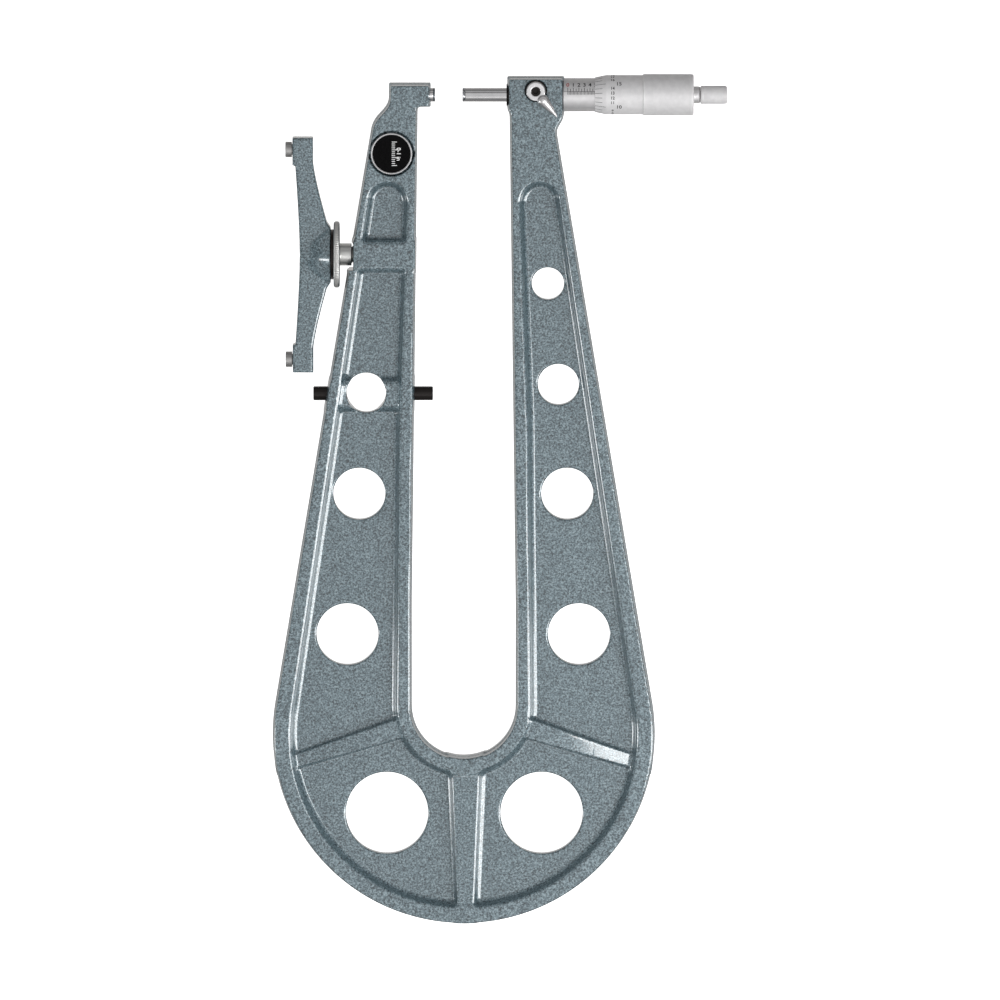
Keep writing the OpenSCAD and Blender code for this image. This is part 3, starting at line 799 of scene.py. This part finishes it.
def thimble():
    teeth, pitch = 90, 0.66

    def knurl(angle, place, radius):
        on = (place > KNURL_X + 0.7) & (place < THIMBLE_L - 1.9) & (radius > THIMBLE_R)
        a = angle * teeth / (2 * math.pi)
        b = (place - KNURL_X) / pitch
        tri = np.minimum(np.abs((a + b) % 1 * 2 - 1), np.abs((a - b) % 1 * 2 - 1))
        return np.where(on, -0.1 * (1 - tri), 0)

    end = THIMBLE_L
    turned("graduated_thimble", "thimble",
           [(0, EDGE_R - 0.1, 0.03), (0, EDGE_R, 0.04), (CONE_L, THIMBLE_R, 6),
            (KNURL_X, THIMBLE_R, 0.15), (KNURL_X + 0.1, KNURL_R, 0.3),
            (end - 1.9, KNURL_R), (end, KNURL_R - 0.1, 1.7), (end, 5.6, 0.2),
            (end - 0.5, 5.0), (end - 7.4, 5.0), (end - 7.4, EDGE_R - 0.1)], SPINDLE_Y,
           KNURLED, "spindle_set", "satin_chrome", closed=True, segments=4 * teeth, bump=knurl,
           fine=(KNURL_X + 0.2, end - 1.85, pitch / 4))


def ratchet():
    low, high = design("ratchet_body")
    stem = design("thimble")[1][0] - low[0]
    end = high[0] - low[0]
    turned("ratchet_neck", "ratchet_body",
           [(0, 0), (0, 2.5), (stem - 1.9, 2.5), (stem - 1.9, 5.0), (stem - 0.3, 5.0),
            (stem - 0.3, 3.9), (stem + 2.5, 3.9, 0.1), (stem + 2.5, 3.65), (stem + 3.1, 3.65),
            (stem + 3.1, 3.5), (stem + 2.4, 3.5), (stem + 2.4, 1.9), (end, 1.9), (end, 0)],
           SPINDLE_Y, CHROME, "spindle_set", "satin_chrome")
    length, r = box_l_r("ratchet_knob")
    flutes = 56

    def fluted(angle, place, radius):
        on = (place > 1.6) & (radius > r - 0.75)
        wave = np.abs(np.cos(angle * flutes / 2))
        return np.where(on, -0.06 * (1 - wave), 0)

    turned("fluted_knob", "ratchet_knob",
           [(0, 3.4, 0.1), (0, r, 0.3), (1.3, r, 0.05), (1.4, r - 0.12, 0.03),
            (1.55, r - 0.12, 0.03), (1.65, r, 0.03), (length - 0.7, r, 0.2),
            (length, r - 0.7, 0.2), (length, 3, 0.15), (9.5, 3), (9.5, 1.98), (8, 1.98),
            (8, 3.4)], SPINDLE_Y, KNURLED, "ratchet", "satin_chrome", closed=True,
           segments=flutes * 8, bump=fluted)


# ---------------------------------------------------------------- scales and numbers
# where the sleeve's long line lies, from +Z towards +Y, and the thimble's reading there
DATUM = math.radians(16.6)
READING = 13.5
INCH = 25.4
SUNK = 0.03
GAP = design("spindle_tip")[0][0] - design("anvil_tip")[1][0]


def wrap(u, angle, r, cy=SPINDLE_Y):
    """Points at places u along X and angles from +Z towards +Y, at radius r, in metres."""
    return np.column_stack([u, cy + r * np.sin(angle), r * np.cos(angle)]) * MM + ORIGIN


def strips(name, marks, radius_at, material, body):
    """Engraved and filled lines on a turned surface: (x0, x1, angle, half angle) each."""
    verts, faces = [], []
    raised, widest = 0.012, 0.4
    for x0, x1, angle, half in marks:
        # narrow enough that each piece keeps above the curved surface
        count = math.ceil(2 * half * radius_at(x0) / widest)
        cuts = np.linspace(angle - half, angle + half, count + 1)
        for a0, a1 in zip(cuts, cuts[1:]):
            base = len(verts)
            for x in (x0, x1):
                for a in (a0, a1):
                    for lift in (-SUNK, raised):
                        r = radius_at(x) + lift
                        verts.append(wrap(np.array([x]), np.array([a]), np.array([r]))[0])
            faces += [[base + c for c in face] for face in BOX_FACES]
    mesh = bpy.data.meshes.new(name)
    mesh.from_pydata([tuple(v) for v in verts], [], faces)
    o = link(name, mesh, smooth=False)
    return finish_piece(o, material, body, "satin_chrome")


def lettering(text, size):
    """A short text as a thin solid centred on the origin, in mm, cut across so that it can bend."""
    curve = bpy.data.curves.new("text", "FONT")
    curve.body = text
    curve.size = size
    curve.extrude = 0.02
    curve.offset = 0.045
    curve.resolution_u = 6
    curve.align_x = "CENTER"
    curve.align_y = "CENTER"
    o = bpy.data.objects.new("text", curve)
    bpy.context.scene.collection.objects.link(o)
    dg = bpy.context.evaluated_depsgraph_get()
    mesh = bpy.data.meshes.new_from_object(o.evaluated_get(dg))
    bpy.data.objects.remove(o)
    bpy.data.curves.remove(curve)
    bm = bmesh.new()
    bm.from_mesh(mesh)
    bpy.data.meshes.remove(mesh)
    bmesh.ops.remove_doubles(bm, verts=bm.verts, dist=1e-5)
    for k in range(-6, 7):
        geom = bm.verts[:] + bm.edges[:] + bm.faces[:]
        bmesh.ops.bisect_plane(bm, geom=geom, plane_co=(0, k * size / 8, 0), plane_no=(0, 1, 0))
    verts = np.array([v.co for v in bm.verts])
    faces = [[v.index for v in f.verts] for f in bm.faces]
    bm.free()
    return verts, faces


def numbers(name, labels, radius_at, material, body):
    """Numbers wrapped round a turned surface: (text, size, x, angle) each."""
    verts, faces = [], []
    raised = 0.014
    for text, size, x, angle in labels:
        flat, polygons = lettering(text, size)
        u = x + flat[:, 0]
        r = np.array([radius_at(v) for v in u])
        base = len(verts)
        lift = np.where(flat[:, 2] > 0, raised, -SUNK)
        verts += list(wrap(u, angle + flat[:, 1] / r, r + lift))
        faces += [[base + i for i in p] for p in polygons]
    mesh = bpy.data.meshes.new(name)
    mesh.from_pydata([tuple(v) for v in verts], [], faces)
    o = link(name, mesh, smooth=False)
    return finish_piece(o, material, body, "satin_chrome")


def sleeve_scale():
    r = box_l_r("sleeve")[1]
    zero = design("thimble")[0][0] - GAP
    half = 0.12
    marks = [(HEAD_RIGHT + 0.02, zero + INCH * 1.02, DATUM, 0.08 / r)]
    for k in range(41):
        x = zero + k * INCH / 40
        low = DATUM - 1.5 / r
        marks.append((x - half, x + half, (low + DATUM) / 2, (DATUM - low) / 2))
        if k % 2 == 0:
            high = DATUM + (1.75 if k % 4 == 0 else 1.25) / r
            marks.append((x - half, x + half, (high + DATUM) / 2, (high - DATUM) / 2))
    strips("sleeve_lines", marks, lambda x: r, INK, "root")
    angle, size = DATUM + 3.2 / r, 2.8
    labels = [(str(k % 10), size, zero + k * INCH / 10, angle) for k in range(1, 11)]
    numbers("sleeve_numbers", labels, lambda x: r, INK, "root")
    numbers("sleeve_zero", [("0", size, zero, angle)], lambda x: r, RED_INK, "root")


def thimble_scale():
    edge = design("thimble")[0][0]

    def radius_at(x):
        return EDGE_R + (THIMBLE_R - EDGE_R) * min(1, max(0, (x - edge) / CONE_L))

    divisions, start, half = 25, edge + 0.1, 0.085 / EDGE_R
    marks, small, large = [], [], []
    for n in range(divisions):
        angle = DATUM + (n - READING) * (2 * math.pi / divisions)
        five = n % 5 == 0
        length = 4.9 if five else 3.3
        # in two halves, as the cone's side is a little curved
        marks.append((start, start + length / 2, angle, half))
        marks.append((start + length / 2, start + length, angle, half))
        if five:
            large.append((str(n), 2.6, edge + 11.0, angle))
        else:
            small.append((str(n), 1.9, edge + 8.1, angle))
    strips("thimble_lines", marks, radius_at, INK, "spindle_set")
    numbers("thimble_numbers", small + large, radius_at, INK, "spindle_set")


# ---------------------------------------------------------------- clamp, plate, stand, pins
def upright(name, node, points, material, body, slot, **options):
    """A piece turned about Z, from its node's lowest point."""
    low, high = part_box(node)
    centre = ((low.x + high.x) / 2, (low.y + high.y) / 2, low.z)
    profile = rounded(points, options.get("closed", False))
    o = lathe(name, profile, centre, axis="z", **options)
    return finish_piece(o, material, body, slot, node)


def plate():
    upright("plate_ring", "plate_bezel",
            [(0, 8.7), (0, 9.5), (0.95, 9.45, 0.15), (1.2, 9.3, 0.12), (1.2, 9.0, 0.12),
             (0.75, 8.7, 0.1)], CHROME, "root", "satin_chrome", closed=True, segments=160)
    upright("plate_face", "plate_disc", [(0, 0), (0, 8.7), (0.8, 8.7, 0.1), (0.8, 0)], DISC,
            "root", "black_disc", segments=160)
    top = design("plate_disc")[1][2]
    # generic range marking and a plain scale motif, turned to read along the arm
    flat, faces = lettering("0-1 in", 2.6)
    verts = [tuple(v) for v in
             np.column_stack([flat[:, 1] + 3.2, -flat[:, 0] - 0.2, flat[:, 2]])]
    foot, half_width, half_height = 0.1, 0.14, 0.02
    for k in range(13):
        y = 5.4 - k * 0.9
        length = 2.4 if k % 4 == 0 else 1.5
        base = len(verts)
        for x in (foot, foot + length):
            for dy in (-half_width, half_width):
                for z in (-half_height, half_height):
                    verts.append((x, y + dy, z))
        faces += [[base + c for c in face] for face in BOX_FACES]
    place = np.array(verts) + np.array([PLATE[0], PLATE[1], top])
    mesh = bpy.data.meshes.new("plate_marking")
    mesh.from_pydata([tuple(v) for v in place * MM + ORIGIN], [], faces)
    finish_piece(link("plate_marking", mesh, smooth=False), WHITE_INK, "root", "black_disc")


def clamp():
    clamp_lever()
    upright("clamp_ring", "clamp_seat",
            [(0, 2.05), (0, 4.85), (0.9, 4.85, 0.2), (0.9, 4.5, 0.1), (0.9, 2.05)], BLACK, "root",
            "black_steel", closed=True)


def stand():
    stand_casting()
    for side, node in (("upper", "stand_foot_upper"), ("lower", "stand_foot_lower")):
        turned(f"foot_{side}", node,
               [(0, 0), (0, 3.6, 0.45), (3.0, 3.6, 0.1), (3.0, 2.5), (10, 2.5), (10, 0)],
               middle(node)[1], PAD, "stand", "foot_pad")
    length, r = box_l_r("stand_washer")
    turned("black_washer", "stand_washer",
           [(0, 4.05), (0, r, 0.25), (length, r, 0.25), (length, 4.05)], STUD_Y, BLACK, "stand",
           "black_steel", closed=True)
    length, r = box_l_r("stand_stud")
    pitch = 1.25

    def thread(angle, place, radius):
        on = (place > 0.8) & (place < length - 1.2) & (radius > 3.5)
        wave = np.abs(((place / pitch + angle / (2 * math.pi)) % 1) * 2 - 1)
        return np.where(on, -0.55 * (1 - wave), 0)

    turned("threaded_stud", "stand_stud",
           [(0, 0), (0, r - 0.8), (0.7, r), (length - 1.1, r), (length, r - 0.9), (length, 0)],
           STUD_Y, PLATED, "stud", "zinc_steel", segments=64, bump=thread,
           fine=(0.7, length - 1.05, pitch / 8))
    length, r = box_l_r("stand_lock_nut")
    disc, teeth, cross_pitch = 2.8, 100, 0.7

    def knurl(angle, place, radius):
        on = np.clip((radius - (r - 1.3)) / 0.5, 0, 1)
        wave = np.abs(np.cos(angle * teeth / 2))
        cross = np.abs(((place / cross_pitch) % 1) * 2 - 1)
        return -0.28 * on * (1 - wave * (0.6 + 0.4 * cross))

    turned("knurled_nut", "stand_lock_nut",
           [(0, 4.05), (0, r, 1.35), (disc, r, 1.35), (disc, 5.1, 0.5), (length, 5.1, 0.35),
            (length, 4.05)], STUD_Y, PLATED, "lock_nut", "zinc_steel", closed=True,
           segments=teeth * 6, bump=knurl, n=10)


def pins():
    length, r = box_l_r("rest_pin_inner")
    turned("pin_inner", "rest_pin_inner", [(0, 0), (0, r, 0.3), (length, r, 0.5), (length, 0)],
           PIN_Y, BLACK, "inner_pin", "black_steel")
    length, r = box_l_r("rest_pin_outer")
    turned("pin_outer", "rest_pin_outer", [(0, 0), (0, r, 0.5), (length, r, 0.3), (length, 0)],
           PIN_Y, BLACK, "outer_pin", "black_steel")


def inner_pieces():
    finishes = {"inner_sleeve": PLAIN, "adjusting_nut": PLAIN, "ratchet_screw": PLAIN,
                "ratchet_crown": PLAIN, "ratchet_spring": PLAIN, "clamp_screw": BLACK,
                "clamp_shoe": BRASS, "pin_screw_inner": BLACK, "pin_screw_outer": BLACK}
    for node, material in finishes.items():
        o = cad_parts[node]
        o.data.materials.clear()
        o.data.materials.append(material)


# ---------------------------------------------------------------- stage, lights, camera
def stage():
    size = 6.0
    mesh = bpy.data.meshes.new("floor")
    z = CAD_LOW.z
    mesh.from_pydata([(-size, -size, z), (size, -size, z), (size, size, z), (-size, size, z)],
                     [], [(0, 1, 2, 3)])
    floor = link("floor", mesh, smooth=False)
    mat, nodes, links, bsdf, coord = shader("pale_floor")
    bsdf.inputs["Base Color"].default_value = (0.93, 0.93, 0.93, 1)
    bsdf.inputs["Roughness"].default_value = 0.9
    bsdf.inputs["Emission Color"].default_value = (1, 1, 1, 1)
    bsdf.inputs["Emission Strength"].default_value = 1.0
    floor.data.materials.append(mat)
    # the floor is seen, but does not fill the sides of the tool with light
    floor.visible_diffuse = False
    floor.visible_glossy = False


def softbox(name, place, target, width, height, power):
    light = bpy.data.lights.new(name, "AREA")
    light.shape = "RECTANGLE"
    light.size, light.size_y = width, height
    light.energy = power
    o = bpy.data.objects.new(name, light)
    o.location = place
    o.rotation_euler = (Vector(target) - Vector(place)).to_track_quat("-Z", "Y").to_euler()
    bpy.context.scene.collection.objects.link(o)


def lights():
    world = bpy.data.worlds.new("studio")
    bpy.context.scene.world = world
    world.use_nodes = True
    background = world.node_tree.nodes["Background"]
    nodes, links = world.node_tree.nodes, world.node_tree.links
    coord = nodes.new("ShaderNodeTexCoord")
    split = nodes.new("ShaderNodeSeparateXYZ")
    links.new(coord.outputs["Generated"], split.inputs["Vector"])
    # bright overhead, dark at the horizon, and pale below it where the floor would show
    height = nodes.new("ShaderNodeMapRange")
    height.inputs["From Min"].default_value = -1
    links.new(split.outputs["Z"], height.inputs["Value"])
    sky = ramp(nodes, links, height.outputs["Result"], [
        (0.0, (0.62, 0.61, 0.6)), (0.36, (0.45, 0.445, 0.44)), (0.46, (0.1, 0.1, 0.1)),
        (0.54, (0.1, 0.1, 0.1)), (0.62, (0.5, 0.505, 0.51)), (0.79, (0.6, 0.605, 0.61)),
        (0.83, (0.3, 0.3, 0.3)), (0.9, (0.3, 0.3, 0.3)), (0.94, (0.84, 0.845, 0.85))])
    links.new(sky, background.inputs["Color"])
    background.inputs["Strength"].default_value = 1.0
    softbox("right_key", (1.2, -0.32, 0.42), (0, -0.32, 0), 0.25, 1.0, 6.5)
    softbox("left_fill", (-1.2, -0.28, 0.42), (0, -0.28, 0), 0.16, 1.0, 4)
    softbox("right_top", (0.62, -0.28, 1.15), (0, -0.1, 0), 0.35, 0.8, 6)
    softbox("low_top", (0.1, -0.7, 1.2), (0, 0, 0), 1.2, 0.35, 1.5)


def camera():
    # a long lens, a little over six degrees from upright towards the heads; the picture is
    # width metres wide at the tool
    distance, lean, width, sensor = 8.0, 0.11, 0.45909, 36
    aim = Vector((16.64, 107.83, 0)) * MM + Vector(ORIGIN)
    back = Vector((0, lean, 1)) * distance
    data = bpy.data.cameras.new("camera")
    data.sensor_width = sensor
    data.lens = sensor * back.length / width
    o = bpy.data.objects.new("camera", data)
    o.location = aim + back
    o.rotation_euler = (-math.atan(lean), 0, 0)
    bpy.context.scene.collection.objects.link(o)
    bpy.context.scene.camera = o
    bpy.context.scene.view_settings.view_transform = "Standard"


frame_casting()
rods()
sleeves()
thimble()
ratchet()
sleeve_scale()
thimble_scale()
plate()
clamp()
stand()
pins()
inner_pieces()
stage()
lights()
camera()
